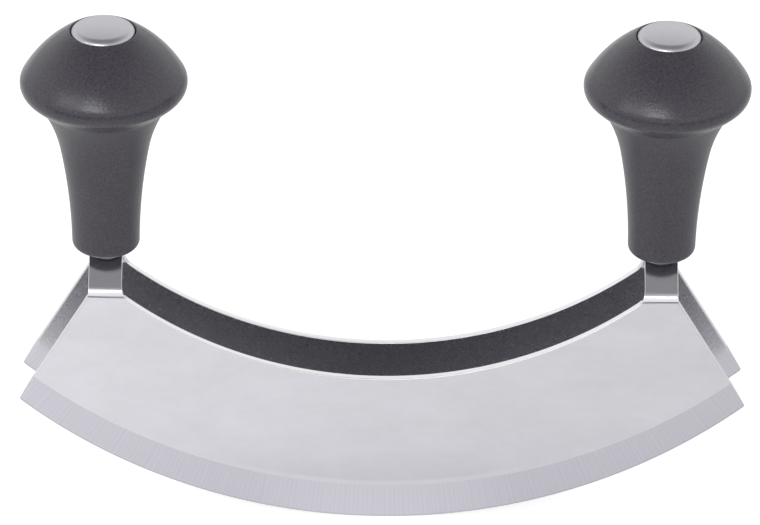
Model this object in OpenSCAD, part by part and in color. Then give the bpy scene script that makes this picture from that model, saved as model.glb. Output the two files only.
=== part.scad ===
// Double mezzaluna: two parallel crescent blades under two knob handles.
// X runs along the blades, Y across them, Z up. The origin lies midway between the
// lowest points of the two cutting edges. All sizes are in millimetres.

/* [Blades] */
// Length of a blade from tip to tip
blade_span = 180; // [170:1:200]
// Radius of the cutting edge
edge_r = 138.25; // [125:0.25:160]
// Radius of the hollow back
back_r = 101.7; // [95:0.1:115]
// Height of the back above the cutting edge, in the middle
back_h = 40.3; // [36:0.1:46]
// Thickness of the blade sheet
sheet_t = 1.8; // [1.2:0.1:2.2]
// Distance between the middle planes of the two blades
blade_pitch = 17.7; // [14:0.1:22]

/* [Ground edge] */
// Height of the ground bevel in the middle of the blade
bevel_h = 9.6; // [7:0.1:12]
// Radius at which the blade swings past the grinding wheel
bevel_swing_r = 137; // [131:0.5:143]
// Sheet left at the foot of the ground bevel, in the middle of the blade
ground_t = 0.3; // [0.2:0.05:0.5]
// Width of the land left by the honed edge
edge_t = 0.1; // [0.06:0.01:0.14]
// Angle of the honed edge on each face
hone_angle = 18; // [14:1:25]

/* [Tangs] */
// Distance between the axes of the two handles
handle_pitch = 136.5; // [130:0.5:142]
// Width of a tang
tang_w = 8.2; // [7:0.1:8.6]
// Slope of the crank that brings the two tangs together
crank_angle = 48.5; // [38:0.5:55]
// Inside radius of a bend in the sheet
bend_r = 1.8; // [0.8:0.1:2.4]
// How far the lower bend starts below the line of the shoulders
bend_drop = 0.7; // [0:0.1:1]
// Fillet where a tang runs out into the blade
flare_r = 4; // [2:0.5:6]
// Length of a tang above its crank
tang_l = 18; // [17:0.5:22]

/* [Handle outline] */
// Height of the handle's foot above the tangs' upper bends
foot_gap = 0.4; // [0:0.1:0.8]
// Radius of the stem at its foot
foot_r = 8.3; // [7.6:0.05:10]
// Rounding of the foot's rim
foot_rim_r = 1.8; // [1:0.1:2.4]
// Radius of the long hollow curve of the stem
stem_curve_r = 150; // [120:1:200]
// Slope of the stem's side where the long curve ends
stem_slope = 10.6; // [9:0.1:12]
// Radius of the flare under the head
head_flare_r = 35; // [32:0.5:40]
// Slope of the stem's side where it meets the head
neck_slope = 31.4; // [28:0.1:34]
// Slope at which the underside of the head leaves the stem
under_slope = 52.8; // [49:0.1:58]
// Radius of the underside of the head
under_r = 40; // [34:0.5:46]
// Slope at which the underside turns into the brim
brim_slope = 45.6; // [43:0.1:48]
// Radius of the brim
brim_r = 3.9; // [3:0.1:5]
// Slope at which the brim turns into the crown
crown_slope = 30.4; // [26:0.1:34]
// Radius of the crown
crown_r = 33.4; // [30:0.1:38]

/* [Cap] */
// Radius of the steel cap
cap_r = 7.95; // [7:0.05:9]
// Sheet thickness of the cap
cap_t = 0.8; // [0.5:0.1:1.2]
// Depth of the cap, from its shoulder to the foot of its skirt
cap_skirt = 4.4; // [3.6:0.1:5]
// Radius of the cap's dome
cap_dome_r = 42; // [30:1:80]
// Rounding of the cap's edge
cap_edge_r = 2; // [1.4:0.1:2.4]
// Width of the groove round the cap
cap_groove_w = 0.05; // [0.05:0.05:0.4]
// Depth of the groove round the cap
cap_groove_h = 0.9; // [0.5:0.1:1.5]
// How far the cap's shoulder stands above the edge of its recess
cap_rise = 0.75; // [0.4:0.05:1.4]

/* [Inner fixing] */
// Diameter of the stud's forked foot
fork_d = 9; // [8.8:0.1:10]
// Length of the stud's forked foot
fork_l = 20; // [19.5:0.5:24]
// Diameter of the stud
stud_d = 6; // [5:0.5:6.5]
// Diameter of a rivet
rivet_d = 3; // [2:0.1:3.6]
// Distance between a tang's two rivets
rivet_pitch = 7.5; // [6:0.1:9]
// Diameter of the washer
washer_d = 12; // [11:0.5:12.6]
// Thickness of the washer
washer_t = 1.6; // [1:0.1:2]
// Width of the nut across its flats
nut_flats = 10; // [9:0.5:10.5]
// Height of the nut
nut_h = 5; // [4:0.5:6]
// Diameter of the pocket that holds washer and nut
pocket_d = 13; // [12.8:0.1:14]
// Length of stud that stands out of the nut
stud_end = 1.5; // [1:0.1:2]
// Free height between the stud's end and the cap
cap_room = 3; // [2:0.5:5]

/* [Clearances] */
// Gap on each side of a tang in the fork's slot
slot_gap = 0.05; // [0.02:0.01:0.1]
// Gap round the fork and the stud in the handle's bore
bore_gap = 0.15; // [0.1:0.05:0.3]
// Gap round a rivet in its hole
rivet_gap = 0.05; // [0.02:0.01:0.1]
// Gap round the stud in the washer and in the nut
thread_gap = 0.1; // [0.05:0.05:0.2]

/* [Hidden] */
$fn = 144;

LEFT = -1;
RIGHT = 1;

// Length of one step along a curve that is drawn through points, in degrees
curve_step = 4;
// Chamfers on turned ends and on the mouth of the handle's bore
end_chamfer = 0.3;
mouth_chamfer = 0.2;
// How far a cut runs past the face that it leaves
past = 1;

// The crescent, seen from the front
edge_z = edge_r;
back_z = back_h + back_r;
tip_x = blade_span / 2;
tip_z = edge_z - sqrt(pow(edge_r, 2) - pow(tip_x, 2));
tang_in = (handle_pitch - tang_w) / 2;
tang_out = (handle_pitch + tang_w) / 2;
// The shoulders lie where the hollow back meets the tangs
shoulder_z = back_z - sqrt(pow(back_r, 2) - pow(tang_in, 2));
bend_z = shoulder_z - bend_drop;

// The crank, seen from the side: two bends with a straight ramp between them
bend_mid_r = bend_r + sheet_t / 2;
bend_out_r = bend_r + sheet_t;
crank_shift = (blade_pitch - sheet_t) / 2;
ramp_l = (crank_shift - 2 * bend_mid_r * (1 - cos(crank_angle))) / sin(crank_angle);
crank_top = bend_z + 2 * bend_mid_r * sin(crank_angle) + ramp_l * cos(crank_angle);
tang_top = crank_top + tang_l;

// Heights inside the handle, from the foot up
handle_z = crank_top + foot_gap;
fork_z = handle_z;
fork_top = fork_z + fork_l;
rivet_low_z = crank_top + (tang_l - rivet_pitch) / 2;
ground_slope = atan((sheet_t - ground_t) / 2 / bevel_h);

// The handle's outline: each arc starts where the one below it ends
foot_slope = 0.7;
foot_pt = [foot_r, foot_rim_r];
stem_c = foot_pt + stem_curve_r * outward(foot_slope);
stem_pt = stem_c - stem_curve_r * outward(stem_slope);
flare_c = stem_pt + head_flare_r * outward(stem_slope);
neck_pt = flare_c - head_flare_r * outward(neck_slope);
under_c = neck_pt - under_r * outward(under_slope);
under_pt = under_c + under_r * outward(brim_slope);
brim_c = under_pt - brim_r * outward(brim_slope);
brim_pt = brim_c + brim_r * outward(-crown_slope);
crown_c = brim_pt - crown_r * outward(-crown_slope);
recess_r = cap_r + cap_groove_w;
// Slope of the crown at the edge of the cap's recess, and the height of that edge
rim_slope = -acos((recess_r - crown_c[0]) / crown_r);
rim_h = crown_c[1] - crown_r * sin(rim_slope);

// The cap's skirt stands on a ledge in its recess
cap_rim_z = handle_z + rim_h + cap_rise;
cap_seat_z = cap_rim_z - cap_skirt;
stud_top = cap_seat_z - cap_room;
nut_z = stud_top - stud_end - nut_h;
washer_z = nut_z - washer_t;

// The direction square to a side that leans outwards by this slope, seen in the half section
function outward(slope) = [cos(slope), -sin(slope)];

// Points along an arc, in even steps no longer than curve_step
function arc(centre, r, from, to) =
    let (steps = max(2, ceil(abs(to - from) / curve_step)))
    [for (i = [0 : steps]) let (a = from + (to - from) * i / steps)
        centre + r * [cos(a), sin(a)]];

// The sheet's side view, with its distance from the middle plane along X and height along Y.
// It runs up the outer face and down the inner one.
function sheet_outline() =
    let (
        low_c = [blade_pitch / 2 + sheet_t / 2 - bend_out_r, bend_z],
        high_c = [sheet_t + bend_r, crank_top]
    )
    concat(
        [[blade_pitch / 2 - sheet_t / 2, -past], [blade_pitch / 2 + sheet_t / 2, -past]],
        arc(low_c, bend_out_r, 0, crank_angle),
        arc(high_c, bend_r, 180 + crank_angle, 180),
        [[sheet_t, tang_top], [0, tang_top]],
        arc(high_c, bend_out_r, 180, 180 + crank_angle),
        arc(low_c, bend_r, crank_angle, 0)
    );

// Fills the corner between a tang's inner side and the hollow back
module inner_flare() {
    x = tang_in - flare_r;
    z = back_z - sqrt(pow(back_r - flare_r, 2) - pow(x, 2));
    meets = atan2(z - back_z, x);
    polygon(concat([[tang_in + past, z], [tang_in + past, shoulder_z - past]],
        [[tang_in - past, shoulder_z - 2 * past]],
        arc([x, z], flare_r, meets, 0)));
}

// Fills the corner between a tang's outer side and the blade's end
module outer_flare() {
    turn = atan2(tip_x - tang_out, shoulder_z - tip_z);
    run = flare_r * tan(turn / 2);
    polygon(concat([[tang_out - past, shoulder_z - past], [tang_out - past, shoulder_z + run]],
        arc([tang_out + flare_r, shoulder_z + run], flare_r, 180, 180 + turn)));
}

// The crescent without its tangs
module crescent() {
    difference() {
        intersection() {
            translate([0, edge_z]) circle(edge_r);
            polygon([
                [-tip_x, tip_z], [-tip_x, -past], [tip_x, -past], [tip_x, tip_z],
                [tang_out, shoulder_z], [-tang_out, shoulder_z]
            ]);
        }
        translate([0, back_z]) circle(back_r);
    }
}

// The blade's front view, from the middle plane of the tool out to the blade's outer face
module blade_front() {
    depth = (blade_pitch + sheet_t) / 2;
    rotate([90, 0, 0]) {
        linear_extrude(depth) crescent();
        for (side = [0, 1]) mirror([side, 0, 0]) {
            translate([tang_in, shoulder_z - past, 0]) cube([tang_w, tang_top - shoulder_z + past, depth]);
            linear_extrude(depth) inner_flare();
            linear_extrude(depth) outer_flare();
        }
    }
}

// A ring that grinds one face, as a cone about an axis that crosses the blade at this height.
// It meets the face at radius r, and the face lies half a sheet off the middle plane.
module grind(axis_z, r, half, slope) {
    reach = 16;
    lead = 0.5;
    translate([0, 0, axis_z]) rotate([90, 0, 0])
        rotate_extrude()
            polygon([
                [r - lead, half + lead * tan(slope)],
                [r + reach, half - reach * tan(slope)],
                [r + reach, half + sheet_t]
            ]);
}

// One blade with its cranked tangs, its outer face towards the front
module blade() {
    hone_in = (ground_t - edge_t) / 2 / tan(hone_angle);
    difference() {
        intersection() {
            translate([-tip_x - past, 0, 0]) rotate([90, 0, 90])
                linear_extrude(blade_span + 2 * past)
                    scale([-1, 1]) polygon(sheet_outline());
            blade_front();
        }
        translate([0, -blade_pitch / 2, 0]) for (face = [0, 1]) mirror([0, face, 0]) {
            grind(bevel_h + bevel_swing_r, bevel_swing_r, sheet_t / 2, ground_slope);
            grind(edge_z, edge_r - hone_in, ground_t / 2, hone_angle);
        }
        for (side = [LEFT, RIGHT]) rivet_holes(side);
    }
}

module front_blade() {
    color([0.80, 0.80, 0.82]) blade();
}

module rear_blade() {
    color([0.80, 0.80, 0.82]) mirror([0, 1, 0]) blade();
}

// Puts a piece on the axis of the left or the right handle
module at_handle(side, z) {
    translate([side * handle_pitch / 2, 0, z]) children();
}

// A bar through both rivet places, across the tangs
module rivet_bars(side, d) {
    for (i = [0, 1]) at_handle(side, rivet_low_z + i * rivet_pitch)
        rotate([90, 0, 0]) cylinder(h = fork_d + 2 * past, d = d, center = true);
}

module rivet_holes(side) {
    rivet_bars(side, rivet_d + 2 * rivet_gap);
}

// The handle's half section, from the foot's centre round to the rim of the cap's recess
function handle_outline() = concat(
    [[0, 0]],
    arc([foot_r - foot_rim_r, foot_rim_r], foot_rim_r, -90, -foot_slope),
    arc(stem_c, stem_curve_r, 180 - foot_slope, 180 - stem_slope),
    arc(flare_c, head_flare_r, 180 - stem_slope, 180 - neck_slope),
    arc(under_c, under_r, -under_slope, -brim_slope),
    arc(brim_c, brim_r, -brim_slope, crown_slope),
    arc(crown_c, crown_r, crown_slope, -rim_slope),
    [[0, rim_h]]
);

module handle(side) {
    color([0.20, 0.19, 0.21]) difference() {
        at_handle(side, handle_z) rotate_extrude() polygon(handle_outline());
        at_handle(side, handle_z - past) cylinder(h = fork_top - handle_z + past, d = fork_d + 2 * bore_gap);
        at_handle(side, handle_z - mouth_chamfer)
            cylinder(h = 2 * mouth_chamfer, r1 = fork_d / 2 + bore_gap + 2 * mouth_chamfer, r2 = fork_d / 2 + bore_gap);
        at_handle(side, fork_top - past) cylinder(h = washer_z - fork_top + 2 * past, d = stud_d + 2 * bore_gap);
        at_handle(side, washer_z) cylinder(h = cap_seat_z - washer_z + past, d = pocket_d);
        at_handle(side, cap_seat_z) cylinder(h = cap_skirt + past, r = cap_r);
        at_handle(side, handle_z + rim_h - cap_groove_h) cylinder(h = cap_groove_h + past, r = recess_r);
    }
}

// The cap's half section: a shallow dome with a rounded edge and a skirt
function dome_outline(r, dome_r, round_r) =
    let (
        corner_x = r - round_r,
        lean = asin(corner_x / (dome_r - round_r)),
        corner_z = -round_r,
        dome_z = corner_z - (dome_r - round_r) * cos(lean)
    )
    concat(
        [[0, -cap_skirt], [r, -cap_skirt]],
        arc([corner_x, corner_z], round_r, 0, 90 - lean),
        arc([0, dome_z], dome_r, 90 - lean, 90)
    );

module cap(side) {
    color([0.75, 0.75, 0.77]) at_handle(side, cap_rim_z) difference() {
        rotate_extrude() polygon(dome_outline(cap_r, cap_dome_r, cap_edge_r));
        translate([0, 0, -cap_t])
            rotate_extrude() polygon(dome_outline(cap_r - cap_t, cap_dome_r - cap_t, cap_edge_r - cap_t));
    }
}

// The stud's half section: a thick foot, which is slotted below, and a thinner rod above it
function stud_outline() = [
    [0, fork_z], [fork_d / 2 - end_chamfer, fork_z], [fork_d / 2, fork_z + end_chamfer],
    [fork_d / 2, fork_top], [stud_d / 2, fork_top],
    [stud_d / 2, stud_top - end_chamfer], [stud_d / 2 - end_chamfer, stud_top], [0, stud_top],
];

module tang_stud(side) {
    slot_w = 2 * (sheet_t + slot_gap);
    color([0.62, 0.62, 0.64]) difference() {
        at_handle(side, 0) rotate_extrude() polygon(stud_outline());
        at_handle(side, fork_z - past) translate([-fork_d, -slot_w / 2, 0])
            cube([2 * fork_d, slot_w, tang_top + slot_gap - fork_z + past]);
        rivet_holes(side);
    }
}

// Two rivets, their ends dressed flush with the fork
module tang_rivets(side) {
    color([0.70, 0.70, 0.72]) intersection() {
        rivet_bars(side, rivet_d);
        at_handle(side, fork_z) cylinder(h = fork_l, d = fork_d);
    }
}

module washer(side) {
    color([0.66, 0.66, 0.68]) at_handle(side, washer_z) difference() {
        cylinder(h = washer_t, d = washer_d);
        translate([0, 0, -past]) cylinder(h = washer_t + 2 * past, d = stud_d + 2 * thread_gap);
    }
}

// A hexagon nut with its corners turned off at the top
module nut(side) {
    corners = nut_flats / cos(30);
    color([0.66, 0.66, 0.68]) at_handle(side, nut_z) difference() {
        intersection() {
            cylinder(h = nut_h, d = corners, $fn = 6);
            cylinder(h = nut_h, d1 = corners + 2 * nut_h, d2 = nut_flats);
        }
        translate([0, 0, -past]) cylinder(h = nut_h + 2 * past, d = stud_d + 2 * thread_gap);
    }
}

front_blade();
rear_blade();
handle(LEFT);  // left_handle
handle(RIGHT);  // right_handle
cap(LEFT);  // left_cap
cap(RIGHT);  // right_cap
tang_stud(LEFT);  // left_tang_stud
tang_stud(RIGHT);  // right_tang_stud
tang_rivets(LEFT);  // left_tang_rivets
tang_rivets(RIGHT);  // right_tang_rivets
washer(LEFT);  // left_washer
washer(RIGHT);  // right_washer
nut(LEFT);  // left_nut
nut(RIGHT);  // right_nut
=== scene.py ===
from math import asin, atan2, ceil, cos, degrees, pi, radians, sin, sqrt, tan

import bmesh
import bpy
from mathutils import Matrix, Vector


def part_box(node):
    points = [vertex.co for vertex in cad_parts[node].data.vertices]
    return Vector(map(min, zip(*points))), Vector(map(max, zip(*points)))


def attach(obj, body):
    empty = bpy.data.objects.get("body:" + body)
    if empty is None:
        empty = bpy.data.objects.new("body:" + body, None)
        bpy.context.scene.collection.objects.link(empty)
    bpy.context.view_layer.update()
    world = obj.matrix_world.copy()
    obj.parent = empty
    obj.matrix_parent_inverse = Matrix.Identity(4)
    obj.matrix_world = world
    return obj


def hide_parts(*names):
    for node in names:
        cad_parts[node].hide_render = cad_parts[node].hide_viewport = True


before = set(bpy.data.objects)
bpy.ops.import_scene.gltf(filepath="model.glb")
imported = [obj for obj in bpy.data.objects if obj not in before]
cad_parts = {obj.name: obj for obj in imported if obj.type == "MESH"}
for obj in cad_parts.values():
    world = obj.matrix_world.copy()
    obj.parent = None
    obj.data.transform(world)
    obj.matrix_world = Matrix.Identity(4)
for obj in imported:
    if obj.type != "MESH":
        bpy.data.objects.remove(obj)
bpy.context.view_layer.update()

MM = 0.001
LEFT = -1
RIGHT = 1

# The handles' axes and the heights at which the turned pieces stand, from the frame
handle_low, handle_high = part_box("right_handle")
cap_low, cap_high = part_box("right_cap")
blade_low, blade_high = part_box("front_blade")
handle_x = (handle_low.x + handle_high.x) / 2
handle_z = handle_low.z
tip_x = blade_high.x
tang_top = blade_high.z
outer_face = -blade_low.y
cap_r = (cap_high.x - cap_low.x) / 2

# The blade sheet, in metres
sheet_t = 1.8 * MM
edge_r = 138.25 * MM
back_r = 101.7 * MM
back_h = 40.3 * MM
bevel_h = 9.6 * MM
swing_r = 137 * MM
ground_t = 0.3 * MM
edge_t = 0.1 * MM
hone_angle = 18
tang_w = 8.2 * MM
tang_l = 18 * MM
flare_r = 4 * MM
bend_r = 1.8 * MM
bend_drop = 0.7 * MM
crank_angle = radians(48.5)
rim_round = 0.2 * MM
tip_round = 0.5 * MM

# The handle's outline, in metres, and the slopes of its side in degrees
foot_r = 8.3 * MM
foot_rim_r = 1.8 * MM
foot_slope = 0.7
stem_curve_r = 150 * MM
stem_slope = 10.6
head_flare_r = 35 * MM
neck_slope = 31.4
under_slope = 52.8
under_r = 40 * MM
brim_slope = 45.6
brim_r = 3.9 * MM
crown_slope = 30.4
crown_r = 33.4 * MM
groove_w = 0.05 * MM
groove_h = 0.9 * MM
lip_round = 0.25 * MM
bore_r = 4.65 * MM
stud_hole_r = 3.15 * MM
pocket_r = 6.5 * MM
mouth_chamfer = 0.2 * MM
fork_l = 20 * MM

# The cap, in metres
cap_t = 0.8 * MM
cap_edge_r = 2 * MM
cap_dome_r = 42 * MM


def arc(centre, r, start, end, step=2.0):
    """Points along an arc in its plane, from one angle to another in degrees."""
    steps = max(2, ceil(abs(end - start) / step))
    turns = [radians(start + (end - start) * i / steps) for i in range(steps + 1)]
    return [Vector(centre) + r * Vector((cos(a), sin(a))) for a in turns]


def outward(slope):
    """The direction square to a side that leans outwards by this slope in degrees."""
    return Vector((cos(radians(slope)), -sin(radians(slope))))


def finish_piece(name, bm, material, node, smooth_angle=35):
    """Turns a bmesh into a piece that stands for a node of the frame."""
    mesh = bpy.data.meshes.new(name)
    bmesh.ops.recalc_face_normals(bm, faces=bm.faces)
    for face in bm.faces:
        face.smooth = True
    for edge in bm.edges:
        edge.smooth = edge.calc_face_angle(0) < radians(smooth_angle)
    bm.to_mesh(mesh)
    bm.free()
    piece = bpy.data.objects.new(name, mesh)
    bpy.context.scene.collection.objects.link(piece)
    mesh.materials.append(material)
    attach(piece, "root")
    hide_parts(node)
    return piece


def result(node):
    """The first output that a node has in use."""
    return next(socket for socket in node.outputs if socket.enabled)


class Nodes:
    """A material's node tree, with short calls to add and join nodes."""

    def __init__(self, name):
        self.material = bpy.data.materials.new(name)
        self.material.use_nodes = True
        self.tree = self.material.node_tree
        self.shader = self.tree.nodes["Principled BSDF"]

    def add(self, kind, **values):
        node = self.tree.nodes.new(kind)
        for key, value in values.items():
            setattr(node, key, value)
        return node

    def join(self, source, socket, target, slot):
        self.tree.links.new(source.outputs[socket], target.inputs[slot])

    def place(self):
        return self.add("ShaderNodeTexCoord")

    def noise(self, scale, detail=4, roughness=0.5, stretch=(1, 1, 1)):
        """Noise on the object's own coordinates, stretched along the axes."""
        mapping = self.add("ShaderNodeMapping")
        mapping.inputs["Scale"].default_value = stretch
        self.join(self.place(), "Object", mapping, "Vector")
        noise = self.add("ShaderNodeTexNoise")
        noise.inputs["Scale"].default_value = scale
        noise.inputs["Detail"].default_value = detail
        noise.inputs["Roughness"].default_value = roughness
        self.join(mapping, "Vector", noise, "Vector")
        return noise

    def spread(self, source, socket, low, high, from_low=0.3, from_high=0.7):
        """Spreads a grey pattern over a range of values."""
        spread = self.add("ShaderNodeMapRange")
        for name, value in (("From Min", from_low), ("From Max", from_high), ("To Min", low), ("To Max", high)):
            spread.inputs[name].default_value = value
        self.join(source, socket, spread, "Value")
        return spread

    def tint(self, source, socket, dark, light):
        """Mixes two colours by a grey pattern."""
        ramp = self.add("ShaderNodeValToRGB")
        ramp.color_ramp.elements[0].position = 0.3
        ramp.color_ramp.elements[0].color = (*dark, 1)
        ramp.color_ramp.elements[1].position = 0.7
        ramp.color_ramp.elements[1].color = (*light, 1)
        self.join(source, socket, ramp, "Fac")
        return ramp

    def side_view(self):
        """The object's x and z, as the parts of a vector."""
        split = self.add("ShaderNodeSeparateXYZ")
        self.join(self.place(), "Object", split, "Vector")
        return split

    def sum(self, operation, first, first_socket, second, second_socket="Value"):
        """Arithmetic on two values, of which the second may be a plain number."""
        node = self.add("ShaderNodeMath", operation=operation)
        self.join(first, first_socket, node, 0)
        if isinstance(second, (int, float)):
            node.inputs[1].default_value = second
        else:
            self.join(second, second_socket, node, 1)
        return node

    def beyond(self, x, z, r, soft=0.05 * MM):
        """1 outside a circle in the side view and 0 inside it."""
        split = self.side_view()
        across = self.sum("SUBTRACT", split, "X", x)
        up = self.sum("SUBTRACT", split, "Z", z)
        squares = self.sum("ADD", self.sum("MULTIPLY", across, 0, across), 0, self.sum("MULTIPLY", up, 0, up))
        away = self.sum("SQRT", squares, 0, 0)
        return self.spread(away, "Value", 0, 1, r - soft, r + soft)

    def inside(self, half_gap, top):
        """1 between the blades, below this height, and 0 elsewhere."""
        split = self.side_view()
        off = self.sum("ABSOLUTE", split, "Y", 0)
        between = self.sum("LESS_THAN", off, 0, half_gap)
        return self.sum("MULTIPLY", between, 0, self.sum("LESS_THAN", split, "Z", top))

    def uneven(self, source, socket, scale):
        """Noise along one value."""
        noise = self.add("ShaderNodeTexNoise", noise_dimensions="1D")
        noise.inputs["Scale"].default_value = scale
        self.join(source, socket, noise, "W")
        return noise

    def turn_from(self, x, z):
        """The direction from a point in the side view, in radians off straight down."""
        split = self.side_view()
        across = self.sum("SUBTRACT", split, "X", x)
        down = self.sum("MULTIPLY", self.sum("SUBTRACT", split, "Z", z), 0, -1)
        return self.sum("ARCTAN2", across, 0, down)

    def strokes(self, turn, z, per_mm):
        """Even strokes that run through a point, as a wheel leaves them, with a little drift."""
        count = self.sum("MULTIPLY", turn, 0, z / MM * per_mm * 2 * pi)
        drift = self.sum("MULTIPLY", self.uneven(turn, 0, z / MM * 0.3), "Fac", 9)
        wave = self.sum("SINE", self.sum("ADD", count, 0, drift), 0, 0)
        depth = self.sum("MULTIPLY", wave, 0, self.uneven(turn, 0, z / MM * 0.4), "Fac")
        scratches = self.sum("MULTIPLY", self.uneven(turn, 0, z / MM * 4), "Fac", 0.6)
        return self.spread(self.sum("ADD", depth, 0, scratches), 0, 0, 1, -0.5, 1)

    def mixed(self, mask, first, second):
        """The first pattern where the mask is 0 and the second where it is 1."""
        colours = result(first).type != "VALUE"
        mix = self.add("ShaderNodeMix", data_type="RGBA" if colours else "FLOAT")
        kind = "Color" if colours else "Float"
        sockets = {socket.identifier: socket for socket in mix.inputs}
        self.tree.links.new(result(mask), sockets["Factor_Float"])
        self.tree.links.new(result(first), sockets["A_" + kind])
        self.tree.links.new(result(second), sockets["B_" + kind])
        return mix

    def faded(self, source, left):
        """A colour multiplied down to the part of it that is left."""
        fade = self.add("ShaderNodeVectorMath", operation="MULTIPLY")
        self.tree.links.new(result(source), fade.inputs[0])
        fade.inputs[1].default_value = left
        return fade

    def feed(self, name, source):
        """Gives a pattern to one of the shader's inputs."""
        self.tree.links.new(result(source), self.shader.inputs[name])

    def bump(self, source, socket, distance, strength=1.0, below=None):
        bump = self.add("ShaderNodeBump")
        bump.inputs["Strength"].default_value = strength
        bump.inputs["Distance"].default_value = distance
        self.join(source, socket, bump, "Height")
        if below:
            self.join(below, "Normal", bump, "Normal")
        return bump


def rolled_steel(name, dark, light, rough_low, rough_high):
    """Polished stainless sheet: faint clouds, fine pits and a little tooth."""
    n = Nodes(name)
    n.shader.inputs["Metallic"].default_value = 1
    cloud = n.noise(80, 6, 0.75, (0.7, 1, 1.3))
    colour = n.tint(cloud, "Fac", dark, light)
    n.feed("Base Color", colour)
    grain = n.noise(900, 3, 0.6)
    rough = n.spread(grain, "Fac", rough_low, rough_high)
    n.feed("Roughness", rough)
    tooth = n.noise(1800, 2, 0.5)
    bump = n.bump(tooth, "Fac", 0.004 * MM, 0.2)
    n.feed("Normal", bump)
    return n, colour, rough, bump


def blade_finish(name):
    """The blades' sheet, with a ground band whose fine strokes run square to the edge."""
    n, colour, rough, bump = rolled_steel(name, (0.69, 0.685, 0.726), (0.76, 0.754, 0.8), 0.15, 0.19)
    swing_z = bevel_h + swing_r
    turn = n.turn_from(0, swing_z)
    turn_squared = n.sum("MULTIPLY", turn, 0, turn)

    # Between the blades the sheet is rougher and painted darker as shade, with lighter painted shade past the handles
    between = n.inside(outer_face - sheet_t / 2, bend_z)
    specks = n.noise(1100, 3, 0.65)
    painted_shade_between = n.tint(specks, "Fac", (0.52, 0.515, 0.54), (0.57, 0.565, 0.59))
    dull_rough = n.spread(specks, "Fac", 0.25, 0.28)
    from_middle = n.sum("ABSOLUTE", n.side_view(), "X", 0)
    past_handles = n.spread(from_middle, "Value", 0, 1, handle_x - 2 * MM, handle_x + 2 * MM)
    inner = n.mixed(past_handles, painted_shade_between, n.tint(specks, "Fac", (0.63, 0.625, 0.637), (0.69, 0.685, 0.698)))

    # Above the middle of the ground band a painted reflection: darker where the table's shadow is mirrored, up to a
    # painted bright line along the band
    line_r = swing_r - 1.3 * MM
    in_middle = n.spread(turn_squared, 0, 1, 0, 0.02, 0.12)
    painted_shadow_reflection = n.sum("MULTIPLY", n.beyond(0, swing_z, line_r - 4.5 * MM, 4.5 * MM), "Result", in_middle, "Result")
    painted_bright_reflection = n.sum("MULTIPLY", n.beyond(0, swing_z, line_r, 0.3 * MM), "Result", in_middle, "Result")
    face = n.mixed(painted_bright_reflection, n.mixed(painted_shadow_reflection, colour, n.faded(colour, (0.93, 0.925, 0.955))), colour)

    # The cut back rim is painted brighter as a highlight, and less smooth
    above = n.sum("GREATER_THAN", n.side_view(), "Z", bend_z)
    off_rim = n.sum("MAXIMUM", n.beyond(0, back_h + back_r, back_r + 0.25 * MM), "Result", above)
    rim = n.tint(specks, "Fac", (0.79, 0.79, 0.81), (0.85, 0.85, 0.87))
    rim_rough = n.spread(specks, "Fac", 0.30, 0.36)

    # The ground band has painted shade towards the tips and along its honed edge
    ground = n.beyond(0, swing_z, swing_r)
    strokes = n.strokes(turn, swing_z, 0.85)
    painted_tip_shade = n.spread(turn_squared, 0, 0, 0.2, 0, 0.06)
    shade = n.sum("SUBTRACT", n.spread(strokes, "Result", 0.53, 0.68, 0, 1), "Result", painted_tip_shade, "Result")
    band = n.tint(shade, "Value", (0.59, 0.583, 0.637), (0.72, 0.712, 0.777))
    # Painted shade along the honed edge
    band = n.mixed(n.beyond(0, edge_r, edge_r - 0.45 * MM, 0.1 * MM), band, n.faded(band, (0.87, 0.87, 0.87)))
    band_rough = n.spread(strokes, "Result", 0.19, 0.25)

    sheet = n.mixed(off_rim, rim, n.mixed(between, face, inner))
    sheet_rough = n.mixed(off_rim, rim_rough, n.mixed(between, rough, dull_rough))
    n.feed("Base Color", n.mixed(ground, sheet, band))
    n.feed("Roughness", n.mixed(ground, sheet_rough, band_rough))
    return n.material


def moulded_plastic(name):
    """Black moulded plastic with a fine matt grain, which the palm has polished on the crown."""
    n = Nodes(name)
    n.shader.inputs["Specular IOR Level"].default_value = 0.41
    grain = n.noise(2000, 3, 0.6)
    n.feed("Base Color", n.tint(grain, "Fac", (0.0355, 0.0328, 0.0412), (0.0735, 0.0675, 0.0845)))
    polished = n.spread(n.side_view(), "Z", 0, 1, handle_z + 40 * MM, handle_z + 45 * MM)
    matt_rough = n.spread(grain, "Fac", 0.31, 0.37)
    crown_rough = n.spread(grain, "Fac", 0.19, 0.25)
    n.feed("Roughness", n.mixed(polished, matt_rough, crown_rough))
    n.feed("Normal", n.bump(grain, "Fac", 0.04 * MM, 0.9))
    return n.material


# The crescent, seen from the front: x along the blade, z up
edge_c = Vector((0, edge_r))
back_c = Vector((0, back_h + back_r))
swing_c = Vector((0, bevel_h + swing_r))
tip_z = edge_r - sqrt(edge_r**2 - tip_x**2)
tang_in = handle_x - tang_w / 2
tang_out = handle_x + tang_w / 2
shoulder_z = back_c.y - sqrt(back_r**2 - tang_in**2)
bend_mid_r = bend_r + sheet_t / 2
bend_z = shoulder_z - bend_drop
crank_shift = outer_face - sheet_t
ramp_l = (crank_shift - 2 * bend_mid_r * (1 - cos(crank_angle))) / sin(crank_angle)
bend_l = bend_mid_r * crank_angle
crank_top = tang_top - tang_l
hone_in = (ground_t - edge_t) / 2 / tan(radians(hone_angle))

blade_steel = blade_finish("blade_steel")
cap_steel = rolled_steel("cap_steel", (0.475, 0.475, 0.499), (0.498, 0.498, 0.524), 0.29, 0.34)[0].material
fixing_steel = rolled_steel("fixing_steel", (0.25, 0.25, 0.26), (0.29, 0.29, 0.30), 0.36, 0.46)[0].material
handle_plastic = moulded_plastic("handle_plastic")


def meets_end(centre, r):
    """Where the blade's straight end meets a circle, near the tip."""
    start = Vector((tang_out, shoulder_z))
    along = (Vector((tip_x, tip_z)) - start).normalized()
    off = start - centre
    half = off.dot(along)
    return start + along * (-half + sqrt(half**2 - off.dot(off) + r**2))


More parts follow.
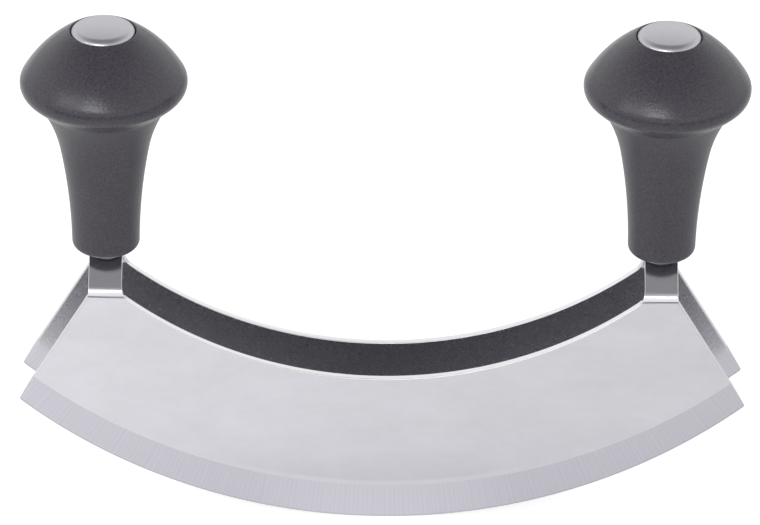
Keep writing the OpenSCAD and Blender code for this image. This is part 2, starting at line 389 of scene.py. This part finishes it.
def blank_height(z):
    """Height on the flat blank of a point that ends up at this height once it is bent."""
    rise = z - bend_z
    if rise <= 0:
        return z
    if rise <= bend_mid_r * sin(crank_angle):
        return bend_z + bend_mid_r * asin(rise / bend_mid_r)
    return bend_z + bend_l + (rise - bend_mid_r * sin(crank_angle)) / cos(crank_angle)


def bent(x, s, t):
    """Where a point of the flat blank lies on the cranked blade, t off the sheet's middle."""
    up = s - bend_z
    mid_d = outer_face - sheet_t / 2
    if up <= 0:
        return Vector((x, -mid_d - t, s))
    low_d = mid_d - bend_mid_r
    if up <= bend_l:
        a = up / bend_mid_r
        r = bend_mid_r + t
        return Vector((x, -low_d - r * cos(a), bend_z + r * sin(a)))
    up -= bend_l
    if up <= ramp_l:
        r = bend_mid_r + t
        d = low_d + r * cos(crank_angle) - up * sin(crank_angle)
        return Vector((x, -d, bend_z + r * sin(crank_angle) + up * cos(crank_angle)))
    up -= ramp_l
    high_d = sheet_t / 2 + bend_mid_r
    if up <= bend_l:
        a = pi + crank_angle - up / bend_mid_r
        r = bend_mid_r - t
        return Vector((x, -high_d - r * cos(a), crank_top + r * sin(a)))
    return Vector((x, -sheet_t / 2 - t, crank_top + up - bend_l))


def body_outline():
    """The right half of the flat blank above the ground edge, from the bevel's end to the middle of the back."""
    turn = atan2(tip_x - tang_out, shoulder_z - tip_z)
    run = flare_r * tan(turn / 2)
    outer = arc((tang_out + flare_r, shoulder_z + run), flare_r, 180 + turn * 180 / pi, 180, 5)
    x = tang_in - flare_r
    z = back_c.y - sqrt((back_r - flare_r)**2 - x**2)
    meets = atan2(z - back_c.y, x) * 180 / pi
    inner = arc((x, z), flare_r, 0, meets, 5)
    back = arc(back_c, back_r, meets, -90, 1)
    bent_part = outer + [Vector((tang_out, tang_top)), Vector((tang_in, tang_top))] + inner
    top = bend_z + 2 * bend_l + ramp_l + tang_l
    points = [Vector((p.x, top if p.y == tang_top else blank_height(p.y))) for p in bent_part]
    return points + back[1:-1]


def blade_piece(name, node, facing):
    """One blade: a flat blank is extruded, ground, rounded at its rim and bent at its tangs."""
    bm = bmesh.new()
    columns = 180
    rows = []
    tip_pull = 0.25 * tip_round
    for centre, r, pull in ((edge_c, edge_r, tip_round), (edge_c, edge_r - hone_in, tip_pull), (swing_c, swing_r, 0)):
        end = meets_end(centre, r) - centre
        reach = atan2(end.x, -end.y) - pull / r
        turns = [reach * (2 * i / columns - 1) for i in range(columns + 1)]
        rows.append([bm.verts.new((centre.x + r * sin(a), 0, centre.y - r * cos(a))) for a in turns])
    for low, high in zip(rows, rows[1:]):
        for i in range(columns):
            bm.faces.new((low[i], low[i + 1], high[i + 1], high[i]))
    half = body_outline()
    right = [bm.verts.new((p.x, 0, p.y)) for p in half]
    middle = bm.verts.new((0, 0, back_h))
    left = [bm.verts.new((-p.x, 0, p.y)) for p in reversed(half)]
    body = bm.faces.new(rows[2] + right + [middle] + left)
    half_t = [(edge_t / 2, rows[0]), (ground_t / 2, rows[1]), (sheet_t / 2, rows[2] + right + [middle] + left)]
    thickness = {v: t for t, verts in half_t for v in verts}
    flat = list(bm.faces)
    far_side = bmesh.ops.duplicate(bm, geom=flat + list(bm.edges) + list(bm.verts))
    twin = {v: far_side["vert_map"][v] for v in thickness}
    for face in [f for f in far_side["geom"] if isinstance(f, bmesh.types.BMFace)]:
        face.normal_flip()
    for v, t in thickness.items():
        twin[v].co.y = t
        v.co.y = -t
    for edge in [e for e in bm.edges if e.is_boundary and e.verts[0] in thickness]:
        a, b = edge.verts
        bm.faces.new((a, b, twin[b], twin[a]))
    rim = [e for e in body.edges if e.verts[0] not in rows[2] or e.verts[1] not in rows[2]]
    far = {twin[v] for v in rows[2]}
    far_body = next(f for f in twin[middle].link_faces if len(f.verts) > 100)
    rim += [e for e in far_body.edges if e.verts[0] not in far or e.verts[1] not in far]
    bmesh.ops.recalc_face_normals(bm, faces=bm.faces)
    bmesh.ops.bevel(
        bm, geom=rim, affect="EDGES", offset=rim_round, offset_type="OFFSET", segments=4,
        profile=0.5, material=-1, clamp_overlap=True,
    )
    top = bend_z + 2 * bend_l + ramp_l
    cuts = [bend_z + bend_l * i / 8 for i in range(9)]
    cuts += [top - bend_l * i / 8 for i in range(9)]
    for z in cuts:
        geom = list(bm.verts) + list(bm.edges) + list(bm.faces)
        bmesh.ops.bisect_plane(bm, geom=geom, dist=1e-7, plane_co=(0, 0, z), plane_no=(0, 0, 1))
    for v in bm.verts:
        v.co = bent(v.co.x, v.co.z, -v.co.y)
        if facing < 0:
            v.co.y = -v.co.y
    piece = finish_piece(name, bm, blade_steel, node)
    weigh = piece.modifiers.new("even_shading", "WEIGHTED_NORMAL")
    weigh.keep_sharp = True
    return piece


def lathe(outline, x, steps=128):
    """A turned piece: a closed half section swept once round the upright axis at x."""
    bm = bmesh.new()
    verts = [bm.verts.new((x + p[0], 0, p[1])) for p in outline]
    edges = [bm.edges.new((a, b)) for a, b in zip(verts, verts[1:] + verts[:1])]
    bmesh.ops.spin(
        bm, geom=verts + edges, cent=(x, 0, 0), axis=(0, 0, 1), dvec=(0, 0, 0),
        angle=2 * pi, steps=steps, use_merge=True, use_duplicate=False,
    )
    bmesh.ops.remove_doubles(bm, verts=bm.verts, dist=1e-7)
    return bm


def handle_outline():
    """The handle's half section: round the outside from foot to lip, then down its bore."""
    foot = Vector((foot_r, foot_rim_r))
    stem_c = foot + stem_curve_r * outward(foot_slope)
    stem = stem_c - stem_curve_r * outward(stem_slope)
    flare_c = stem + head_flare_r * outward(stem_slope)
    neck = flare_c - head_flare_r * outward(neck_slope)
    under_c = neck - under_r * outward(under_slope)
    under = under_c + under_r * outward(brim_slope)
    brim_c = under - brim_r * outward(brim_slope)
    brim = brim_c + brim_r * outward(-crown_slope)
    crown_c = brim - crown_r * outward(-crown_slope)
    recess_r = cap_r + groove_w
    lip_z = crown_c.y + sqrt(crown_r**2 - (recess_r - crown_c.x)**2)
    across = recess_r + lip_round - crown_c.x
    lip_c = crown_c + Vector((across, sqrt((crown_r - lip_round)**2 - across**2)))
    lip_turn = degrees(atan2(lip_c.y - crown_c.y, across))
    outside = arc((foot_r - foot_rim_r, foot_rim_r), foot_rim_r, -90, -foot_slope, 8)
    outside += arc(stem_c, stem_curve_r, 180 - foot_slope, 180 - stem_slope, 0.5)[1:]
    outside += arc(flare_c, head_flare_r, 180 - stem_slope, 180 - neck_slope, 1)[1:]
    outside += arc(under_c, under_r, -under_slope, -brim_slope, 1)
    outside += arc(brim_c, brim_r, -brim_slope, crown_slope, 4)[1:]
    outside += arc(crown_c, crown_r, crown_slope, lip_turn, 1.5)[1:]
    outside += arc(lip_c, lip_round, lip_turn, 180, 20)[1:]
    seat = cap_low.z - handle_z
    washer_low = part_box("right_washer")[0].z - handle_z
    fork_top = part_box("right_tang_stud")[0].z + fork_l - handle_z
    inside = [
        (recess_r, lip_z - groove_h), (cap_r, lip_z - groove_h), (cap_r, seat), (pocket_r, seat),
        (pocket_r, washer_low), (stud_hole_r, washer_low), (stud_hole_r, fork_top), (bore_r, fork_top),
        (bore_r, mouth_chamfer), (bore_r + mouth_chamfer, 0),
    ]
    return [(p[0], handle_z + p[1]) for p in outside + inside]


def cap_outline():
    """The cap's half section: a shallow dome with a rounded edge, and a skirt below it."""
    corner_x = cap_r - cap_edge_r
    lean = asin(corner_x / (cap_dome_r - cap_edge_r))
    turn = 90 - degrees(lean)
    dome_c = (0, cap_high.z - cap_dome_r)
    corner = (corner_x, dome_c[1] + (cap_dome_r - cap_edge_r) * cos(lean))
    outside = arc(corner, cap_edge_r, 0, turn, 4) + arc(dome_c, cap_dome_r, turn, 90, 0.5)[1:]
    inside = arc(dome_c, cap_dome_r - cap_t, 90, turn, 1) + arc(corner, cap_edge_r - cap_t, turn, 0, 8)[1:]
    return [(cap_r, cap_low.z)] + [tuple(p) for p in outside + inside] + [(cap_r - cap_t, cap_low.z)]


for name, node, facing in (("front_sheet", "front_blade", 1), ("rear_sheet", "rear_blade", -1)):
    blade_piece(name, node, facing)

for side, word in ((LEFT, "left"), (RIGHT, "right")):
    finish_piece(
        word + "_knob", lathe(handle_outline(), side * handle_x, 144), handle_plastic,
        word + "_handle",
    )
    finish_piece(
        word + "_top", lathe(cap_outline(), side * handle_x, 128), cap_steel, word + "_cap",
    )
    for inner in ("tang_stud", "tang_rivets", "washer", "nut"):
        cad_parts[word + "_" + inner].data.materials.clear()
        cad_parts[word + "_" + inner].data.materials.append(fixing_steel)


# The studio: a white table and a pale tent that the camera itself sees as plain white
def table_material():
    """White paint. The camera sees it glow up to plain white, and the steel a little, more so on the left."""
    material = bpy.data.materials.new("table_white")
    material.use_nodes = True
    tree = material.node_tree
    tree.nodes.clear()
    out = tree.nodes.new("ShaderNodeOutputMaterial")
    path = tree.nodes.new("ShaderNodeLightPath")
    place = tree.nodes.new("ShaderNodeTexCoord")
    split = tree.nodes.new("ShaderNodeSeparateXYZ")
    fade = tree.nodes.new("ShaderNodeMapRange")
    for name, value in (("From Min", -0.1), ("From Max", 0.1), ("To Min", 0.415), ("To Max", 0.26)):
        fade.inputs[name].default_value = value
    tree.links.new(place.outputs["Object"], split.inputs[0])
    tree.links.new(split.outputs["X"], fade.inputs["Value"])
    shader = None
    for ray, paint_grey, glow_grey in (
        (None, 0.88, 0), ("Is Transmission Ray", 0.7, None), ("Is Glossy Ray", 0.7, None), ("Is Camera Ray", 0.45, 0.78),
    ):
        paint = tree.nodes.new("ShaderNodeBsdfDiffuse")
        paint.inputs["Color"].default_value = (paint_grey, paint_grey, paint_grey, 1)
        if ray is None:
            shader = paint
            continue
        glow = tree.nodes.new("ShaderNodeEmission")
        if glow_grey is None:
            tree.links.new(fade.outputs["Result"], glow.inputs["Strength"])
        else:
            glow.inputs["Strength"].default_value = glow_grey
        both = tree.nodes.new("ShaderNodeAddShader")
        tree.links.new(paint.outputs[0], both.inputs[0])
        tree.links.new(glow.outputs[0], both.inputs[1])
        mix = tree.nodes.new("ShaderNodeMixShader")
        tree.links.new(path.outputs[ray], mix.inputs["Fac"])
        tree.links.new(shader.outputs[0], mix.inputs[1])
        tree.links.new(both.outputs[0], mix.inputs[2])
        shader = mix
    tree.links.new(shader.outputs[0], out.inputs["Surface"])
    return material


def table():
    """A wide table whose front edge lies just in front of the tool."""
    bm = bmesh.new()
    bmesh.ops.create_grid(bm, x_segments=1, y_segments=1, size=4)
    bmesh.ops.translate(bm, verts=bm.verts, vec=(0, 4 - 0.17, 0))
    mesh = bpy.data.meshes.new("table")
    bm.to_mesh(mesh)
    bm.free()
    floor = bpy.data.objects.new("table", mesh)
    mesh.materials.append(table_material())
    bpy.context.scene.collection.objects.link(floor)


def room():
    """A pale tent that leans forwards, bright up to 40 degrees, dim overhead and below the table's edge."""
    lean = radians(5)
    world = bpy.data.worlds.new("room")
    bpy.context.scene.world = world
    world.use_nodes = True
    tree = world.node_tree
    tree.nodes.clear()
    out = tree.nodes.new("ShaderNodeOutputWorld")
    place = tree.nodes.new("ShaderNodeTexCoord")
    height = tree.nodes.new("ShaderNodeVectorMath")
    height.operation = "DOT_PRODUCT"
    height.inputs[1].default_value = (0, -sin(lean), cos(lean))
    rise = tree.nodes.new("ShaderNodeMapRange")
    rise.inputs["From Min"].default_value = -1
    ramp = tree.nodes.new("ShaderNodeValToRGB")
    stops = (
        (-90, 0.6), (-18, 0.6), (-14, 0.2), (-4, 0.2), (-2, 0.85), (12, 0.92), (22, 0.92), (34, 0.80), (43, 0.66), (50, 0.50), (57, 0.38),
        (66, 0.295), (74, 0.235), (90, 0.36),
    )
    for i, (elevation, grey) in enumerate(stops):
        at = (sin(radians(elevation)) + 1) / 2
        if i < 2:
            stop = ramp.color_ramp.elements[i]
            stop.position = at
        else:
            stop = ramp.color_ramp.elements.new(at)
        stop.color = (grey, grey, grey, 1)
    sky = tree.nodes.new("ShaderNodeBackground")
    sky.inputs["Strength"].default_value = 1.2
    white = tree.nodes.new("ShaderNodeBackground")
    path = tree.nodes.new("ShaderNodeLightPath")
    mix = tree.nodes.new("ShaderNodeMixShader")
    tree.links.new(place.outputs["Generated"], height.inputs[0])
    tree.links.new(height.outputs["Value"], rise.inputs["Value"])
    tree.links.new(rise.outputs["Result"], ramp.inputs["Fac"])
    tree.links.new(ramp.outputs["Color"], sky.inputs["Color"])
    white.inputs["Color"].default_value = (1, 1, 1, 1)
    tree.links.new(path.outputs["Is Camera Ray"], mix.inputs["Fac"])
    tree.links.new(sky.outputs[0], mix.inputs[1])
    tree.links.new(white.outputs[0], mix.inputs[2])
    tree.links.new(mix.outputs[0], out.inputs["Surface"])


def softbox(name, azimuth, elevation, distance, width, height, power):
    """An area lamp that faces the middle of the tool from this direction."""
    lamp = bpy.data.lights.new(name, "AREA")
    lamp.shape = "RECTANGLE"
    lamp.size = width
    lamp.size_y = height
    lamp.energy = power
    holder = bpy.data.objects.new(name, lamp)
    bpy.context.scene.collection.objects.link(holder)
    a, e = radians(azimuth), radians(elevation)
    aim = Vector((0, 0, 0.065))
    away = Vector((sin(a) * cos(e), -cos(a) * cos(e), sin(e)))
    holder.location = aim + away * distance
    holder.rotation_euler = away.to_track_quat("Z", "Y").to_euler()


table()
room()
softbox("front_softbox", -15, 34, 1.6, 0.7, 0.2, 2.5)
softbox("wide_softbox", -30, 34, 1.6, 2.2, 0.2, 4.2)


def camera():
    """The photograph's view: a long lens, a little above the tool, turned slightly."""
    elevation, azimuth, roll = radians(29.456), radians(-0.143), radians(0.665)
    distance = 1457.74 * MM
    aim = Vector((-0.878, 0, 67.93)) * MM
    back = Vector((sin(azimuth) * cos(elevation), -cos(azimuth) * cos(elevation), sin(elevation)))
    right = Vector((cos(azimuth), sin(azimuth), 0))
    up = back.cross(right)
    turned_right = right * cos(roll) + up * sin(roll)
    turned_up = up * cos(roll) - right * sin(roll)
    lens = bpy.data.cameras.new("camera")
    lens.sensor_width = 36
    lens.lens = 5920.5 * 36 / 760
    lens.clip_start = 0.05
    holder = bpy.data.objects.new("camera", lens)
    bpy.context.scene.collection.objects.link(holder)
    turn = Matrix((turned_right, turned_up, back)).transposed()
    holder.matrix_world = Matrix.Translation(aim + back * distance) @ turn.to_4x4()
    bpy.context.scene.camera = holder


camera()
bpy.context.scene.view_settings.view_transform = "Standard"
